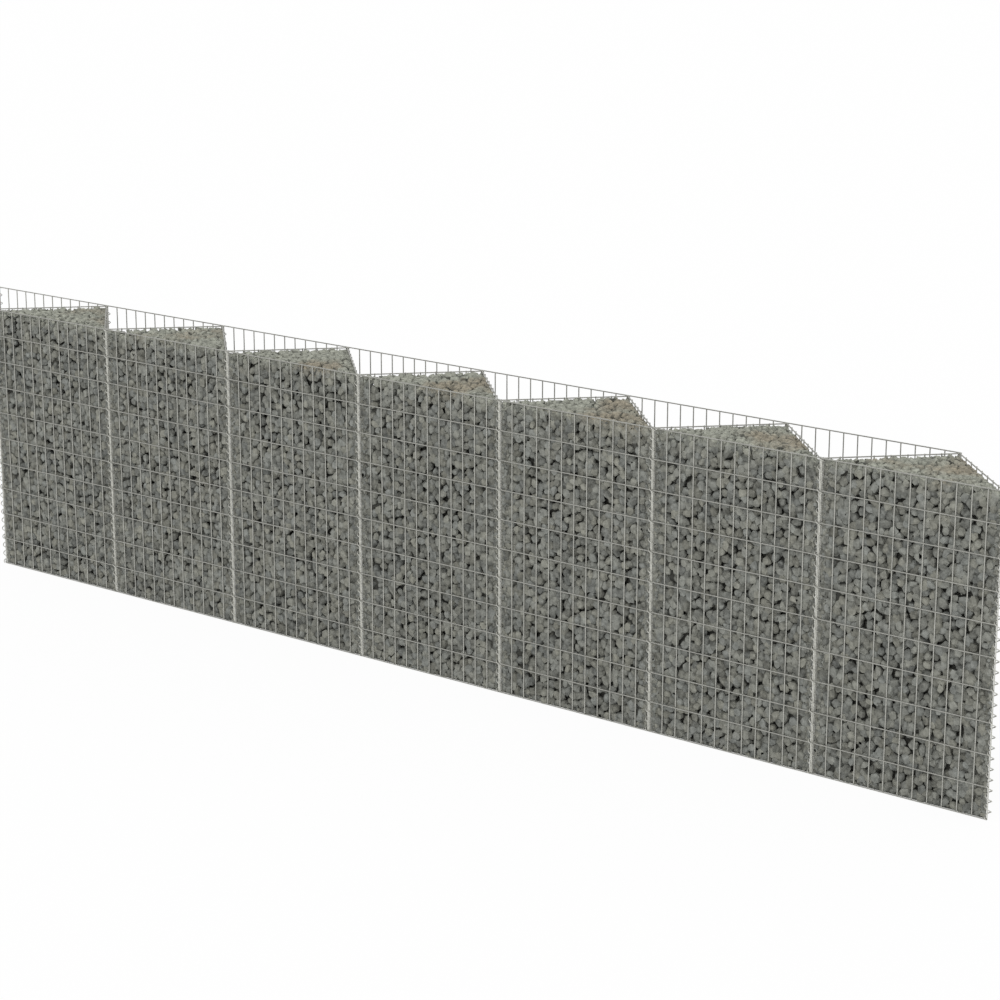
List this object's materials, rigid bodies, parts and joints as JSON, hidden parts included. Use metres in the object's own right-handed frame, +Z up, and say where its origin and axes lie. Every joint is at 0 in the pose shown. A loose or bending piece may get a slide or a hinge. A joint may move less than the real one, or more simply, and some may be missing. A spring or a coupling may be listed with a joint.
{
  "type": "gabion basket wall",
  "caption": "Free-standing gabion wall: welded mesh panels laced by spiral binders into a zigzag of triangular cells, the front ones filled with broken stone.",
  "frame": {"origin": "middle of the wall's length and depth, on the ground", "axes": "+X along the wall to the right as seen from the stone-filled front, +Y from front to back, +Z up"},
  "size_m": [4.5236, 0.3236, 1],
  "materials": {
    "galvanised_mesh": "satin",
    "spiral_wire": "satin",
    "stone_fill": "matte"
  },
  "bodies": {
    "root": {"front_panel_1": "galvanised_mesh", "front_panel_2": "galvanised_mesh", "front_panel_3": "galvanised_mesh", "front_panel_4": "galvanised_mesh", "front_panel_5": "galvanised_mesh", "front_panel_6": "galvanised_mesh", "front_panel_7": "galvanised_mesh", "back_panel_1": "galvanised_mesh", "back_panel_2": "galvanised_mesh", "back_panel_3": "galvanised_mesh", "back_panel_4": "galvanised_mesh", "back_panel_5": "galvanised_mesh", "back_panel_6": "galvanised_mesh", "back_panel_7": "galvanised_mesh", "diagonal_panel_01": "galvanised_mesh", "diagonal_panel_02": "galvanised_mesh", "diagonal_panel_03": "galvanised_mesh", "diagonal_panel_04": "galvanised_mesh", "diagonal_panel_05": "galvanised_mesh", "diagonal_panel_06": "galvanised_mesh", "diagonal_panel_07": "galvanised_mesh", "diagonal_panel_08": "galvanised_mesh", "diagonal_panel_09": "galvanised_mesh", "diagonal_panel_10": "galvanised_mesh", "diagonal_panel_11": "galvanised_mesh", "diagonal_panel_12": "galvanised_mesh", "diagonal_panel_13": "galvanised_mesh", "diagonal_panel_14": "galvanised_mesh", "diagonal_panel_15": "galvanised_mesh", "front_spirals": "spiral_wire", "back_spirals": "spiral_wire", "stone_fill_1": "stone_fill", "stone_fill_2": "stone_fill", "stone_fill_3": "stone_fill", "stone_fill_4": "stone_fill", "stone_fill_5": "stone_fill", "stone_fill_6": "stone_fill", "stone_fill_7": "stone_fill"}
  },
  "joints": []
}
